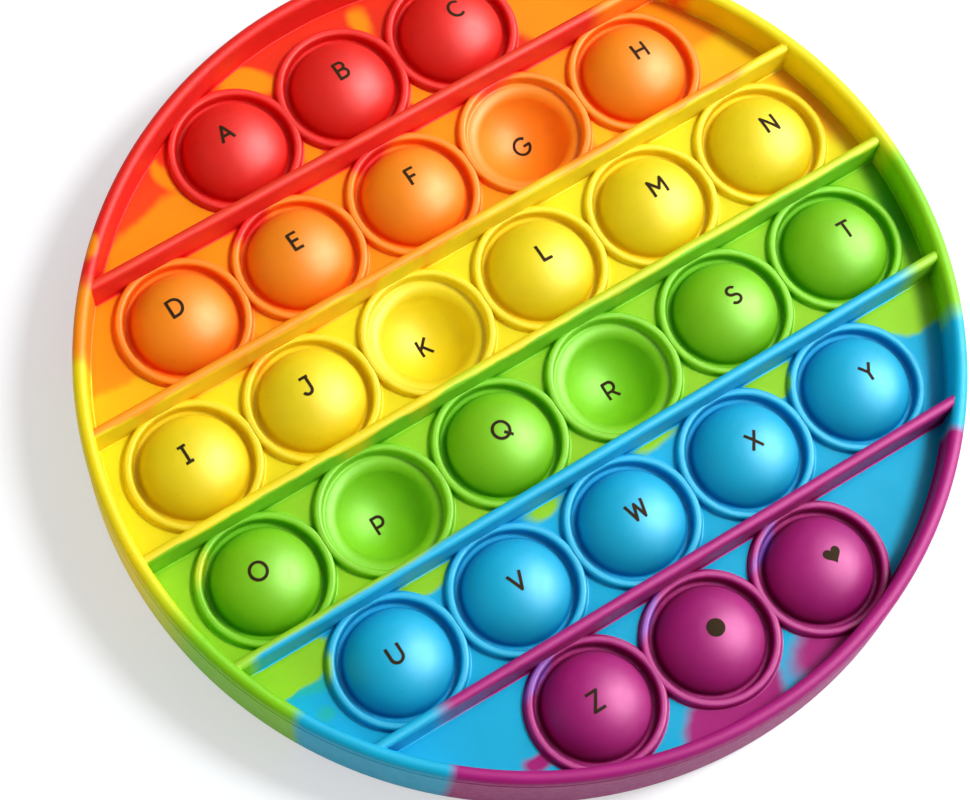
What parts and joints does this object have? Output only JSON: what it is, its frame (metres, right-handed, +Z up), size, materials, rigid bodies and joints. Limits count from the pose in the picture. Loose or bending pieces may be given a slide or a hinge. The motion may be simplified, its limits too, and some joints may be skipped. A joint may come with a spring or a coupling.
{
  "type": "bubble pop fidget toy",
  "caption": "Round one-piece silicone fidget toy: hollow bubbles in ring collars stand in rows between straight ribs inside a tall rim, and pop through when pressed.",
  "frame": {"origin": "centre of the underside, on the plane it rests on", "axes": "+Z up out of the raised bubbles, +X along the rows of bubbles"},
  "size_m": [0.125, 0.125, 0.0134],
  "materials": {
    "silicone": "satin",
    "print": "matte"
  },
  "bodies": {
    "root": {"bubble_board": "silicone"}
  },
  "joints": []
}
